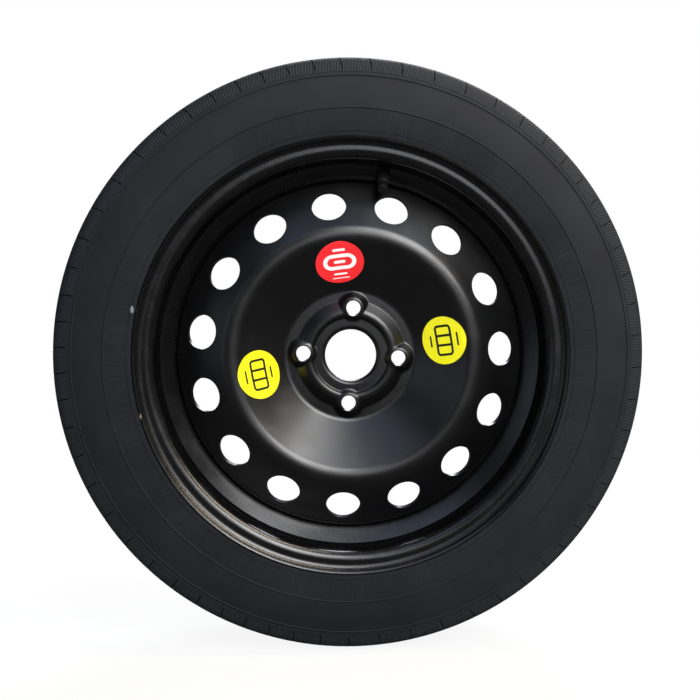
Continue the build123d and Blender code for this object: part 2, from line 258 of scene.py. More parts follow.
bm = bmesh.new()
floor_level = Matrix.Translation((0, 0, cad_box[0].z))
bmesh.ops.create_grid(bm, x_segments=1, y_segments=1, size=FLOOR_SIZE, matrix=floor_level)
rear = [e for e in bm.edges if all(v.co.y > 0 for v in e.verts)]
raised = bmesh.ops.extrude_edge_only(bm, edges=rear)["geom"]
wall_top = [g for g in raised if isinstance(g, bmesh.types.BMVert)]
bmesh.ops.translate(bm, verts=wall_top, vec=(0, 0, FLOOR_SIZE))
mesh = bpy.data.meshes.new("floor")
bm.to_mesh(mesh)
bm.free()
mesh.materials.append(white)
floor = bpy.data.objects.new("floor", mesh)
scene.collection.objects.link(floor)
print("floor at", round(cad_box[0].z, 4))

# %% [markdown]
# ## Wires, spins and walls
# Almost everything on a wheel is turned or rolled, so most pieces start as a wire in the
# plane of the radius and the axle. A few points are joined, each corner is rounded by a
# bevel of its vertex, as a press tool bends sheet, and the wire is spun round the axle.
# Points are (r, u): distance from the axle line, and distance outwards from the middle.

# %% Wires
BEND_STEP, BEND_REACH = radians(9), 1.6


def bent_wire(points, bends, close=False):
    """A bmesh with one wire through (r, u) points, its inner corners rounded to radii in mm."""
    wire = bmesh.new()
    verts = [wire.verts.new((r * MM, -u * MM, 0)) for r, u in points]
    for start, end in zip(verts, verts[1:]):
        wire.edges.new((start, end))
    if close:
        wire.edges.new((verts[-1], verts[0]))
    for vert, bend in zip(verts[1:-1], bends):
        if not bend:
            continue
        legs = [edge.other_vert(vert).co - vert.co for edge in vert.link_edges]
        bent_by = pi - legs[0].angle(legs[1])
        segments = max(3, ceil(bent_by / BEND_STEP), ceil(bent_by * bend / BEND_REACH))
        bmesh.ops.bevel(
            wire, geom=[vert], offset=bend * MM * tan(bent_by / 2), offset_type="OFFSET",
            segments=segments, profile=0.5, affect="VERTICES", material=-1,
        )
    return wire


def spun(wire, steps):
    """Spins a wire in the (r, u) plane round the axle line, and points its faces outwards."""
    bmesh.ops.spin(
        wire, geom=wire.verts[:] + wire.edges[:], cent=(0, 0, 0), axis=(0, 1, 0),
        angle=2 * pi, steps=steps, use_merge=True,
    )
    bmesh.ops.remove_doubles(wire, verts=wire.verts, dist=0.001 * MM)
    bmesh.ops.recalc_face_normals(wire, faces=wire.faces)
    return wire


def slope_matrix(angle, r, u, lean):
    """A place on the wheel: local Z leans outwards from the axle by lean degrees."""
    a, t = radians(angle), radians(lean)
    normal = Vector((sin(t) * cos(a), -cos(t), sin(t) * sin(a)))
    across = Vector((-sin(a), 0, cos(a)))
    origin = Vector((r * cos(a), -u, r * sin(a))) * MM
    axes = Matrix((across, normal.cross(across), normal)).transposed().to_4x4()
    return Matrix.Translation(origin) @ axes


# %% Objects
SHARP = radians(32)


def new_object(name, shape):
    """An object at the origin from a bmesh, which is used up."""
    data = bpy.data.meshes.new(name)
    shape.to_mesh(data)
    shape.free()
    made = bpy.data.objects.new(name, data)
    scene.collection.objects.link(made)
    return made


def apply_modifiers(made):
    """Leaves the object with the mesh that its modifiers make."""
    graph = bpy.context.evaluated_depsgraph_get()
    done = bpy.data.meshes.new_from_object(made.evaluated_get(graph))
    made.modifiers.clear()
    made.data = done


def cut(made, cutter):
    """Takes a closed cutter out of an object, and removes the cutter."""
    made.modifiers.new("cut", "BOOLEAN").object = cutter
    apply_modifiers(made)
    bpy.data.objects.remove(cutter)


def settle(made, finish, slot, *nodes, body="wheel", sharp=SHARP):
    """Smooth shading up to the sharp angle, one finish, and a place in the frame."""
    made.data.materials.clear()
    made.data.materials.append(finish)
    made.data.polygons.foreach_set("use_smooth", [True] * len(made.data.polygons))
    made.data.set_sharp_from_angle(angle=sharp)
    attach(made, body)
    if nodes:
        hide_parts(*nodes)
    made.data.calc_loop_triangles()
    print(made.name, "triangles:", len(made.data.loop_triangles))


# %% [markdown]
# ## Black electrocoat
# Steel wheels are dipped in epoxy paint that an electric field deposits. The coat is thin
# and satin, with a faint orange peel a few millimetres across, and dust lies on it. Its
# highlights are soft, so the roughness is well above that of a gloss paint and it wanders.

# %% Black paint
PEEL_MM = 2.2
DUST_MM = 26.0
CHIP_MM = 1.6


def electrocoat(name, dark, roughness, chips=()):
    """Satin black paint on pressed steel; chips are (centre, half sizes, hex colour) in metres."""
    material, tree, shader = new_material(name, IOR=1.65)
    place = add(tree, "ShaderNodeTexCoord").outputs["Object"]
    dust = noise(tree, place, DUST_MM, 5.0, Roughness=0.65)["Fac"]
    colour = ramp(tree, dust, [(0.3, dark), (0.62, dark), (0.85, "#101012")])
    for centre, size, shown in chips:
        shift = vector(tree, "SUBTRACT", noise(tree, place, CHIP_MM)["Color"], (0.5, 0.5, 0.5))
        moved = vector(tree, "MULTIPLY_ADD", shift, (CHIP_MM * MM,) * 3, place)
        colour = tint(tree, spot(tree, moved, centre, size), colour, linear(shown))
    tree.links.new(colour, shader.inputs["Base Color"])
    rough = fade(tree, dust, 0.3, 0.75, roughness - 0.03, roughness + 0.05)
    tree.links.new(rough, shader.inputs["Roughness"])
    bumped(tree, shader, noise(tree, place, PEEL_MM)["Fac"], 0.05, 0.2)
    return material


def polar(angle, r, u):
    """A point of the wheel in metres, from its angle, radius and distance outwards."""
    return Vector((r * cos(radians(angle)), -u, r * sin(radians(angle)))) * MM


lip_chips = [
    (polar(195.3, 219.0, 62.5), (1.1 * MM, 4 * MM, 2.6 * MM), "#A8967C"),
    (polar(194.6, 218.6, 62.5), (0.8 * MM, 4 * MM, 1.4 * MM), "#6A5036"),
]
black_paint = electrocoat("black_electrocoat", "#060607", 0.31)
rim_paint = electrocoat("black_electrocoat_chipped", "#060607", 0.26, lip_chips)
print("made", black_paint.name, "and", rim_paint.name)

# %% [markdown]
# ## Rim
# The rim is one strip of steel, rolled through sets of rollers and welded into a hoop. Its
# section has a curled flange for each bead of the tyre, a hump inside each bead seat and a
# deep well in the middle. A wire of the side that the tyre sits on is spun, and Solidify
# gives it the thickness of the strip on the other side.

# %% The rim's section
RIM_SHEET = 2.5
STRIP_EDGE_R = 0.9
FLANGE_R, BEAD_SEAT_R, SEAT_TOE_R, WELL_R = 220.3, 202.8, 201.085, 183.0
FLANGE_POINTS = [
    (FLANGE_R - 2, 63.5), (FLANGE_R, 61.0), (FLANGE_R, 50.8), (BEAD_SEAT_R, 50.8),
    (SEAT_TOE_R, 31.2), (SEAT_TOE_R + 1.6, 28.0), (SEAT_TOE_R, 24.8), (SEAT_TOE_R, 20.0),
]
FLANGE_BENDS = [2.0, 9.0, 6.5, 4.0, 3.5, 4.0, 3.6]
WELL_POINTS = [(WELL_R, 7.0), (WELL_R, -12.0)]
WELL_BENDS = [5.0, 5.0]
RIM_STEPS = 300

far_flange = [(r, -u) for r, u in reversed(FLANGE_POINTS)]
rim_points = FLANGE_POINTS + WELL_POINTS + far_flange
rim_bends = FLANGE_BENDS + WELL_BENDS + FLANGE_BENDS[::-1]
rim_shape = spun(bent_wire(rim_points, rim_bends), RIM_STEPS)
top_face = max(rim_shape.faces, key=lambda f: f.calc_center_median().z)
if top_face.normal.z < 0:
    bmesh.ops.reverse_faces(rim_shape, faces=rim_shape.faces)
rim = new_object("rolled_rim", rim_shape)
wall = rim.modifiers.new("strip", "SOLIDIFY")
wall.thickness = RIM_SHEET * MM
wall.offset = -1
wall.use_even_offset = True
rounding = rim.modifiers.new("strip_edge", "BEVEL")
rounding.limit_method = "ANGLE"
rounding.angle_limit = radians(60)
rounding.width = STRIP_EDGE_R * MM
rounding.segments = 3
apply_modifiers(rim)

# %% The valve's hole
VALVE_ANGLE, VALVE_SLOPE_PLACE = 79.8, 0.5
VALVE_HOLE_R = 5.75
WELL_RISE, WELL_RUN = SEAT_TOE_R - WELL_R, 13.0
slope_length = sqrt(WELL_RISE ** 2 + WELL_RUN ** 2)
valve_lean = -atan2(WELL_RUN, WELL_RISE) * 180 / pi
valve_r = WELL_R + VALVE_SLOPE_PLACE * WELL_RISE - RIM_SHEET * WELL_RUN / slope_length
valve_u = WELL_POINTS[0][1] + VALVE_SLOPE_PLACE * WELL_RUN + RIM_SHEET * WELL_RISE / slope_length
valve_place = slope_matrix(VALVE_ANGLE, valve_r, valve_u, valve_lean)

bm = bmesh.new()
bmesh.ops.create_cone(
    bm, cap_ends=True, segments=48, radius1=VALVE_HOLE_R * MM, radius2=VALVE_HOLE_R * MM,
    depth=4 * RIM_SHEET * MM, matrix=valve_place,
)
cut(rim, new_object("valve_hole", bm))
settle(rim, rim_paint, "black_paint", "rim")

# %% [markdown]
# ## Disc
# The disc is pressed from sheet: a dished bowl, a round crest, and a slope with vents that
# runs down to the skirt inside the rim. Its hub has a collar, a ring-shaped ridge and four
# bosses for the bolts. The ridge is part of the spun wire, and the bosses are pushed up out
# of it as the press does, so they melt into the ridge. The vents and holes are punched last.

# %% The disc's section
DISC_SHEET = 3.5
BORE_R, SEAT_FRONT = 27.05, 10.5
BOLT_CIRCLE_R, HUB_RING_R, CREST_R = 50.0, 69.0, 124.0
BOWL_ANGLE = 35.2
SKIRT_R, SKIRT_END, SKIRT_LENGTH = 180.45, -5.1, 20.5
crest_u = SEAT_FRONT + (CREST_R - HUB_RING_R) * tan(radians(BOWL_ANGLE))
edge_u = SKIRT_END + SKIRT_LENGTH
vent_slope = atan2(crest_u - edge_u, SKIRT_R - CREST_R) * 180 / pi
DISC_POINTS = [
    (BORE_R, 7.5), (BORE_R, 14.5), (39.5, 14.5), (41.2, 17.2), (47.0, 17.8), (58.0, SEAT_FRONT),
    (HUB_RING_R, SEAT_FRONT), (CREST_R, crest_u), (SKIRT_R, edge_u), (SKIRT_R, SKIRT_END),
]
DISC_BENDS = [4.2, 1.2, 3.8, 8.0, 1.2, 8.0, 18.0, 6.0]
DISC_STEPS = 360
HUB_GRID, HUB_GRID_R = 1.1, 72.0

disc_wire = bent_wire(DISC_POINTS, DISC_BENDS)
for edge in [e for e in disc_wire.edges if max(v.co.x for v in e.verts) < HUB_GRID_R * MM]:
    pieces = ceil(edge.calc_length() / (HUB_GRID * MM))
    if pieces > 1:
        bmesh.ops.subdivide_edges(disc_wire, edges=[edge], cuts=pieces - 1)
disc_shape = spun(disc_wire, DISC_STEPS)
front = min(disc_shape.faces, key=lambda f: f.calc_center_median().y)
if front.normal.y > 0:
    bmesh.ops.reverse_faces(disc_shape, faces=disc_shape.faces)
print("disc faces:", len(disc_shape.faces))

# %% The bosses
BOLT_COUNT, BOLT_FIRST = 4, 87.1
BOSS_FOOT_R, BOSS_TOP_R, BOSS_HEIGHT = 16.6, 10.4, 8.0
FOOT_BLEND, TOP_BLEND = 1.2, 2.2
COLLAR_WIDTH = 4.0


def soft_min(a, b, blend):
    """The lower of two heights, with the corner between them rounded."""
    share = max(0, blend - abs(a - b)) / blend
    return min(a, b) - share * share * blend / 4


bolt_angles = [radians(BOLT_FIRST + index * 360 / BOLT_COUNT) for index in range(BOLT_COUNT)]
bolt_centres = [Vector((cos(a), sin(a))) * BOLT_CIRCLE_R for a in bolt_angles]
for vert in disc_shape.verts:
    from_axle = Vector((vert.co.x, vert.co.z)) / MM
    from_bolt = min((from_axle - centre).length for centre in bolt_centres)
    if from_bolt < BOSS_FOOT_R + FOOT_BLEND and from_axle.length > BORE_R + COLLAR_WIDTH:
        slope = (BOSS_FOOT_R - from_bolt) / (BOSS_FOOT_R - BOSS_TOP_R) * BOSS_HEIGHT
        boss_u = SEAT_FRONT + soft_min(slope, BOSS_HEIGHT, TOP_BLEND)
        vert.co.y = soft_min(vert.co.y / MM, -boss_u, FOOT_BLEND) * MM

disc = new_object("pressed_disc", disc_shape)
wall = disc.modifiers.new("sheet", "SOLIDIFY")
wall.thickness = DISC_SHEET * MM
wall.offset = -1
wall.use_even_offset = True
apply_modifiers(disc)

# %% The vents and the bolt holes
VENT_COUNT, VENT_FIRST, VENT_CIRCLE_R, VENT_R = 15, 98.7, 156.0, 17.7
BOLT_HOLE_R, BOLT_SEAT_R, BOLT_SEAT_HALF_ANGLE = 7.5, 8.7, 30.0
PUNCH_OVER = 4.0

bm = bmesh.new()
vent_u = crest_u - (VENT_CIRCLE_R - CREST_R) * tan(radians(vent_slope))
for index in range(VENT_COUNT):
    angle = VENT_FIRST + index * 360 / VENT_COUNT
    bmesh.ops.create_cone(
        bm, cap_ends=True, segments=96, radius1=VENT_R * MM, radius2=VENT_R * MM,
        depth=4 * DISC_SHEET * MM, matrix=slope_matrix(angle, VENT_CIRCLE_R, vent_u, vent_slope),
    )
cut(disc, new_object("vent_punches", bm))

boss_front = SEAT_FRONT + BOSS_HEIGHT
seat_depth = (BOLT_SEAT_R - BOLT_HOLE_R) / tan(radians(BOLT_SEAT_HALF_ANGLE))
for centre in bolt_centres:
    punch = spun(bent_wire([
        (0, 0), (BOLT_HOLE_R, 0), (BOLT_HOLE_R, boss_front - seat_depth),
        (BOLT_SEAT_R, boss_front), (BOLT_SEAT_R, boss_front + PUNCH_OVER), (0, boss_front + PUNCH_OVER),
    ], [0] * 4), 64)
    bmesh.ops.translate(punch, verts=punch.verts, vec=(centre.x * MM, 0, centre.y * MM))
    cut(disc, new_object("bolt_punch", punch))
settle(disc, black_paint, "black_paint", "wheel_disc")

# %% [markdown]
# ## Tyre
# The rubber is matte, and a little greyer on the shoulder and the tread. The shoulder has a
# fine hatch between its cuts, and the lower sidewall shows the faint lines of the mould. The
# pale scuff beside the rim is kept from the photo.

# %% Tyre rubber
GRAIN_MM = 0.7
CLOUD_MM = 45.0
HATCH_COUNT, HATCH_TWIST, HATCH_DEPTH = 620, 900.0, 0.8
LINE_COUNT, LINE_DEPTH = 90, 1.4
# Two radii and the width of the soft edges
HATCH_BAND = (282.0, 301.0, 4.0)
LINE_BAND = (221.0, 246.0, 5.0)
GREY_BAND_FROM, GREY_BAND_TO, GREY_BAND_SHARE = 276.0, 292.0, 0.6


def band(tree, radius, inner, outer, soft):
    """1 between two radii in mm, with soft edges."""
    rise = fade(tree, radius, inner * MM, (inner + soft) * MM)
    fall = fade(tree, radius, (outer - soft) * MM, outer * MM, 1.0, 0.0)
    return calc(tree, "MULTIPLY", rise, fall)


tyre_rubber, tree, shader = new_material("carbon_black_rubber", Roughness=0.72, IOR=1.38)
place = add(tree, "ShaderNodeTexCoord").outputs["Object"]
radius = vector(tree, "LENGTH", vector(tree, "MULTIPLY", place, (1, 0, 1)))
axes = add(tree, "ShaderNodeSeparateXYZ", {0: place}).outputs
angle = calc(tree, "ARCTAN2", axes["Z"], axes["X"])

twist = calc(tree, "MULTIPLY", axes["Y"], HATCH_TWIST)
hatch = calc(tree, "SINE", calc(tree, "MULTIPLY_ADD", angle, HATCH_COUNT, twist))
hatch = calc(tree, "MULTIPLY", hatch, band(tree, radius, *HATCH_BAND))
spokes = {"W": calc(tree, "MULTIPLY", angle, LINE_COUNT), "Detail": 4.0}
lines = add(tree, "ShaderNodeTexNoise", spokes, noise_dimensions="1D").outputs["Fac"]
lines = calc(tree, "MULTIPLY", fade(tree, lines, 0.55, 0.7), band(tree, radius, *LINE_BAND))
relief = calc(tree, "MULTIPLY_ADD", hatch, HATCH_DEPTH, noise(tree, place, GRAIN_MM, 3.0)["Fac"])
relief = calc(tree, "MULTIPLY_ADD", lines, LINE_DEPTH, relief)
bumped(tree, shader, relief, 0.8, 0.25)

colour = ramp(tree, noise(tree, place, CLOUD_MM, 5.0)["Fac"], [(0.3, "#0F1217"), (0.7, "#161A20")])
# The colour turns a little greyer from the shoulder out over the tread.
grey_band = calc(tree, "MULTIPLY", fade(tree, radius, GREY_BAND_FROM * MM, GREY_BAND_TO * MM), GREY_BAND_SHARE)
colour = tint(tree, grey_band, colour, linear("#1E2329"))
scuff = spot(tree, place, polar(167.5, 223.6, 61.5), (1.7 * MM, 4 * MM, 3.8 * MM))
colour = tint(tree, scuff, colour, linear("#75808A"))
tree.links.new(colour, shader.inputs["Base Color"])
print("made", tyre_rubber.name)

# %% [markdown]
# Half of the tyre's section is drawn from the middle of the tread to the bead and back along
# the inside, and mirrored. The crown is nearly flat, with three grooves, and the sidewall is
# one arc with raised rings on it. The wire is then spun, and the shoulder cuts are taken out.

# %% The tyre's section
TYRE_R = 303.0
CROWN_R, TREAD_HALF = 386.4, 43.0
SHOULDER, WIDEST, BEAD_LIP = (288.0, 57.6), (252.0, 63.5), (220.4, 60.8)
GROOVE_BOTTOM, GROOVE_HALF, GROOVE_PITCH, RIB_MIDDLE = 297.5, 3.0, 22.0, 34.0
BEAD, BEAD_BENDS = [(220.4, 50.7), (202.9, 50.7), (201.456, 34.3), (222.0, 43.0)], [9.1, 6.4]
LINER = [(252.0, 55.5), (283.0, 43.6), (289.0, 29.0), (289.0, 0.0)]
WALL_RINGS = [(0.13, 0.9), (0.605, 0.9), (0.075, 0.4), (0.93, 0.4)]
WALL_STEPS, SHOULDER_STEPS, LINER_STEPS, TYRE_STEPS = 20, 12, 8, 300
CHORDS = 50


def crown(u):
    """The radius of the tread at a distance from its middle."""
    return TYRE_R - CROWN_R + sqrt(CROWN_R ** 2 - u ** 2)


def circle_through(start, middle, end):
    """The arc through three (r, u) points as a function of a share from 0 to 1, and its centre."""
    a, b, c = Vector(start), Vector(middle), Vector(end)
    across = 2 * ((b - a).cross(c - a))
    ab, ac = (b - a).length_squared, (c - a).length_squared
    centre = a + Vector((
        (c - a).y * ab - (b - a).y * ac,
        (b - a).x * ac - (c - a).x * ab,
    )) / across
    turn = atan2((a - centre).cross(c - centre), (a - centre).dot(c - centre))

    def point(share):
        return centre + Matrix.Rotation(share * turn, 2) @ (a - centre)

    return point, centre


def leaving(start, heading, end):
    """The middle of the arc that leaves a point with a heading and reaches another point."""
    start, end = Vector(start), Vector(end)
    side = Vector((-heading[1], heading[0])).normalized()
    chord = end - start
    reach = chord.length_squared / (2 * chord.dot(side))
    centre = start + side * reach
    return centre + ((start + end) / 2 - centre).normalized() * abs(reach)


tread_edge = (crown(TREAD_HALF), TREAD_HALF)
edge_heading = (-TREAD_HALF / sqrt(CROWN_R ** 2 - TREAD_HALF ** 2), 1.0)
shoulder_arc, _ = circle_through(tread_edge, leaving(tread_edge, edge_heading, SHOULDER), SHOULDER)
wall_arc, wall_centre = circle_through(SHOULDER, WIDEST, BEAD_LIP)
wall_length = sum((wall_arc(i / CHORDS) - wall_arc((i + 1) / CHORDS)).length for i in range(CHORDS))


def wall_point(share):
    """A point of the sidewall, lifted where a ring stands."""
    lift = max(sqrt(max(0, h * h - ((share - at) * wall_length) ** 2)) for at, h in WALL_RINGS)
    spot_on_wall = wall_arc(share)
    return tuple(spot_on_wall + (spot_on_wall - wall_centre).normalized() * lift)


wall_shares = {i / WALL_STEPS for i in range(WALL_STEPS + 1)}
wall_shares |= {at + h / wall_length * k / 3 for at, h in WALL_RINGS for k in range(-3, 4)}
grooved = [(GROOVE_BOTTOM, 0.0), (GROOVE_BOTTOM, GROOVE_HALF), (crown(GROOVE_HALF), GROOVE_HALF)]
inner_edge, outer_edge = GROOVE_PITCH - GROOVE_HALF, GROOVE_PITCH + GROOVE_HALF
grooved += [
    (crown(inner_edge), inner_edge), (GROOVE_BOTTOM, inner_edge),
    (GROOVE_BOTTOM, outer_edge), (crown(outer_edge), outer_edge), (crown(RIB_MIDDLE), RIB_MIDDLE),
]
liner_arc, _ = circle_through(BEAD[-1], LINER[0], LINER[1])
half = grooved + [tuple(shoulder_arc(i / SHOULDER_STEPS)) for i in range(SHOULDER_STEPS)]
half += [wall_point(share) for share in sorted(wall_shares)]
wall_end = len(half)
half += BEAD + [tuple(liner_arc(i / LINER_STEPS)) for i in range(1, LINER_STEPS + 1)] + LINER[2:]
bends = [0.0] * len(half)
bends[wall_end:wall_end + 2] = BEAD_BENDS
print("points in half of the tyre's section:", len(half))

# %% The tyre
tyre_wire = bent_wire(half, bends[1:-1])
bmesh.ops.mirror(tyre_wire, geom=tyre_wire.verts[:] + tyre_wire.edges[:], axis="Y", merge_dist=0.01 * MM)
tyre_shape = spun(tyre_wire, TYRE_STEPS)
tyre = new_object("moulded_tyre", tyre_shape)

# %% [markdown]
# The cuts across the shoulders are thin slots, turned a little out of line with the axle. Their
# pitch swings round the tyre, which keeps a real tread from humming on one note.

# %% The shoulder cuts
CUT_COUNT, CUT_WIDTH, CUT_SLANT = 62, 1.0, 11.0
PITCH_SWING, PITCH_WAVES = 1.6, 5
CUT_OUTLINE = [(307.5, 29.0), (298.5, 33.5), (296.1, 43.0), (284.5, 57.0), (284.5, 63.5), (307.5, 63.5)]

bm = bmesh.new()
for side in (1, -1):
    for index in range(CUT_COUNT):
        slot = bent_wire([(r, side * u) for r, u in CUT_OUTLINE], [0] * 4, close=True)
        sheet = bmesh.ops.contextual_create(slot, geom=slot.edges[:])["faces"]
        bmesh.ops.translate(slot, verts=slot.verts, vec=(0, 0, -CUT_WIDTH / 2 * MM))
        raised = bmesh.ops.extrude_face_region(slot, geom=sheet, use_keep_orig=True)["geom"]
        top = [g for g in raised if isinstance(g, bmesh.types.BMVert)]
        bmesh.ops.translate(slot, verts=top, vec=(0, 0, CUT_WIDTH * MM))
        stand = index * 360 / CUT_COUNT + PITCH_SWING * sin(2 * pi * PITCH_WAVES * index / CUT_COUNT)
        turn = Matrix.Rotation(-radians(stand), 4, "Y") @ Matrix.Rotation(radians(CUT_SLANT), 4, "X")
        bmesh.ops.transform(slot, matrix=turn, verts=slot.verts)
        bmesh.ops.recalc_face_normals(slot, faces=slot.faces)
        part = bpy.data.meshes.new("slot")
        slot.to_mesh(part)
        slot.free()
        bm.from_mesh(part)
        bpy.data.meshes.remove(part)
cut(tyre, new_object("tread_slots", bm))
settle(tyre, tyre_rubber, "tyre_rubber", "tyre", sharp=radians(40))

# %% [markdown]
# ## Stickers
# Three round vinyl stickers lie on the bowl. Each one starts as a flat disc a little above it,
# and Shrinkwrap presses it onto the sheet, so the film bends with the bowl and the crest. The
# print is made of plain shapes.

# %% Printed vinyl
STICKER_R = 25.0
HAZE_MM = 12.0
INK_SOFT = 0.006


def box_distance(tree, point, centre, half, corner):
    """The distance to a rounded rectangle, negative inside it, in shares of the sticker's radius."""
    away = vector(tree, "ABSOLUTE", vector(tree, "SUBTRACT", point, (*centre, 0)))
    over = vector(tree, "SUBTRACT", away, (half[0] - corner, half[1] - corner, 0))
    axes = add(tree, "ShaderNodeSeparateXYZ", {0: over}).outputs
    inside = calc(tree, "MINIMUM", calc(tree, "MAXIMUM", axes["X"], axes["Y"]), 0.0)
    outside = vector(tree, "LENGTH", vector(tree, "MAXIMUM", over, (0, 0, 0)))
    return calc(tree, "SUBTRACT", calc(tree, "ADD", outside, inside), corner)


def vinyl(name, film, ink, shapes):
    """Printed film; shapes are (centre, half size, corner, line), and a line of 0 fills the shape."""
    material, tree, shader = new_material(name, Roughness=0.42, IOR=1.46)
    uv = add(tree, "ShaderNodeTexCoord").outputs["UV"]
    point = vector(tree, "MULTIPLY_ADD", uv, (2, 2, 0), (-1, -1, 0))
    printed = None
    for centre, half, corner, line in shapes:
        distance = box_distance(tree, point, centre, half, corner)
        if line:
            distance = calc(tree, "SUBTRACT", calc(tree, "ABSOLUTE", distance), line)
        mask = fade(tree, distance, -INK_SOFT, INK_SOFT, 1.0, 0.0)
        printed = calc(tree, "MAXIMUM", printed, mask) if printed else mask
    place = add(tree, "ShaderNodeTexCoord").outputs["Object"]
    haze = noise(tree, place, HAZE_MM, 3.0)["Fac"]
    colour = tint(tree, printed, linear(film), linear(ink))
    tree.links.new(colour, shader.inputs["Base Color"])
    tree.links.new(fade(tree, haze, 0.3, 0.7, 0.36, 0.48), shader.inputs["Roughness"])
    bumped(tree, shader, haze, 0.2, 0.1)
    return material


red_vinyl = vinyl("red_printed_vinyl", "#F01A24", "#F6F2F0", [
    ((0, 0.03), (0.60, 0.29), 0.29, 0.085), ((0, 0.03), (0.24, 0.07), 0.07, 0),
    ((0, 0.60), (0.26, 0.06), 0.05, 0), ((0, -0.56), (0.28, 0.045), 0.04, 0),
    ((0, -0.76), (0.36, 0.02), 0.02, 0),
])
yellow_vinyl = vinyl("yellow_printed_vinyl", "#F4F008", "#141310", [
    ((0, 0), (0.60, 0.33), 0.12, 0.05),
    ((-0.2, 0), (0.05, 0.33), 0.03, 0), ((0.2, 0), (0.05, 0.33), 0.03, 0),
    ((0, 0.62), (0.28, 0.04), 0.03, 0), ((0, -0.60), (0.24, 0.04), 0.03, 0),
])

# %% The stickers
STICKERS = [
    ("vinyl_red", "sticker_red", red_vinyl, "red_vinyl", 97.3),
    ("vinyl_yellow_right", "sticker_yellow_right", yellow_vinyl, "yellow_vinyl", 9.6),
    ("vinyl_yellow_left", "sticker_yellow_left", yellow_vinyl, "yellow_vinyl", 191.1),
]
FILM_TOP, FILM, START_ABOVE = 0.35, 0.2, 8.0
STICKER_PLACE, STICKER_RINGS, STICKER_STEPS = 0.518, 20, 96
sticker_r = HUB_RING_R + STICKER_PLACE * (CREST_R - HUB_RING_R)
sticker_u = SEAT_FRONT + STICKER_PLACE * (crest_u - SEAT_FRONT)

for name, node, finish, slot, angle in STICKERS:
    shape = bmesh.new()
    rays = [shape.verts.new((STICKER_R * MM * i / STICKER_RINGS, 0, 0)) for i in range(STICKER_RINGS + 1)]
    spokes = [shape.edges.new(pair) for pair in zip(rays, rays[1:])]
    bmesh.ops.spin(
        shape, geom=rays + spokes, cent=(0, 0, 0), axis=(0, 0, 1),
        angle=2 * pi, steps=STICKER_STEPS, use_merge=True,
    )
    bmesh.ops.remove_doubles(shape, verts=shape.verts, dist=0.001 * MM)
    bmesh.ops.recalc_face_normals(shape, faces=shape.faces)
    print_map = shape.loops.layers.uv.new("print")
    for face in shape.faces:
        for loop in face.loops:
            loop[print_map].uv = Vector((0.5, 0.5)) - loop.vert.co.xy / (2 * STICKER_R * MM)
    if shape.faces[:][0].normal.z < 0:
        bmesh.ops.reverse_faces(shape, faces=shape.faces)
    above = Matrix.Translation((0, 0, START_ABOVE * MM))
    on_bowl = slope_matrix(angle, sticker_r, sticker_u, -BOWL_ANGLE)
    bmesh.ops.transform(shape, matrix=on_bowl @ above, verts=shape.verts)
    sticker = new_object(name, shape)
    press = sticker.modifiers.new("press", "SHRINKWRAP")
    press.target = disc
    press.wrap_method = "PROJECT"
    press.wrap_mode = "ABOVE_SURFACE"
    press.use_positive_direction = False
    press.use_negative_direction = True
    press.offset = FILM_TOP * MM
    wall = sticker.modifiers.new("film", "SOLIDIFY")
    wall.thickness = FILM * MM
    wall.offset = -1
    apply_modifiers(sticker)
    settle(sticker, finish, slot, node)

# %% [markdown]
# ## Valve
# The snap-in valve is a rubber body round a brass tube. It stands square on the slope of the
# rim's well, so its parts are spun round the slope's normal. The plastic cap has ribs for the
# fingers, and it is hollow, because it comes off.

# %% Valve materials
TOOL_MARK_MM = 0.3


def moulded(name, dark, light, roughness, grain):
    """A moulded rubber or plastic with a fine grain in mm."""
    material, tree, shader = new_material(name, IOR=1.48)
    place = add(tree, "ShaderNodeTexCoord").outputs["Object"]
    specks = noise(tree, place, grain, 3.0)["Fac"]
    tree.links.new(ramp(tree, specks, [(0.3, dark), (0.75, light)]), shader.inputs["Base Color"])
    rough = fade(tree, specks, 0.3, 0.7, roughness - 0.05, roughness + 0.05)
    tree.links.new(rough, shader.inputs["Roughness"])
    bumped(tree, shader, specks, 0.3, 0.05)
    return material


def turned(name, dark, light, roughness):
    """Bare metal with the fine marks of a lathe or a drawing die."""
    material, tree, shader = new_material(name, Metallic=1.0)
    place = add(tree, "ShaderNodeTexCoord").outputs["Object"]
    marks = noise(tree, place, TOOL_MARK_MM, 4.0)["Fac"]
    tree.links.new(ramp(tree, marks, [(0.3, dark), (0.7, light)]), shader.inputs["Base Color"])
    rough = fade(tree, marks, 0.3, 0.7, roughness - 0.08, roughness + 0.08)
    tree.links.new(rough, shader.inputs["Roughness"])
    return material


valve_rubber = moulded("epdm_rubber", "#0C0C0D", "#131315", 0.6, 0.8)
cap_plastic = moulded("polypropylene", "#0B0B0C", "#121214", 0.4, 0.6)
seal_rubber = moulded("nitrile_rubber", "#1C1C1C", "#262626", 0.65, 0.5)
valve_brass = turned("turned_brass", "#A8803C", "#C9A45A", 0.3)
spring_steel = turned("drawn_spring_steel", "#9A9CA0", "#C2C4C8", 0.28)

# %% The valve's rubber body and cap
VALVE_STEPS = 72
BOOT_POINTS = [
    (3.05, -12.15), (5.75, -12.15), (9.2, -5.85), (9.2, -2.65), (5.7, -2.65), (5.7, 0.15),
    (7.6, 0.15), (7.6, 1.35), (5.4, 19.0), (3.05, 19.0),
]
BOOT_BENDS = [0.8, 1.2, 0.8, 0, 0, 0.5, 1.0, 0.8]
CAP_R, CAP_RIB_R, CAP_RIBS, CAP_RIB_STEPS = 4.9, 0.35, 18, 12
CAP_BOTTOM, CAP_ROOF, CAP_TOP, CAP_BORE_R = 19.4, 29.9, 31.1, 3.97


def valve_piece(points, bends, steps, close):
    """Spins (distance from the valve's axis, height above the rim) points round the valve's axis."""
    shape = spun(bent_wire(points, bends, close), steps)
    bmesh.ops.rotate(shape, verts=shape.verts, matrix=Matrix.Rotation(-pi / 2, 3, "X"))
    return shape


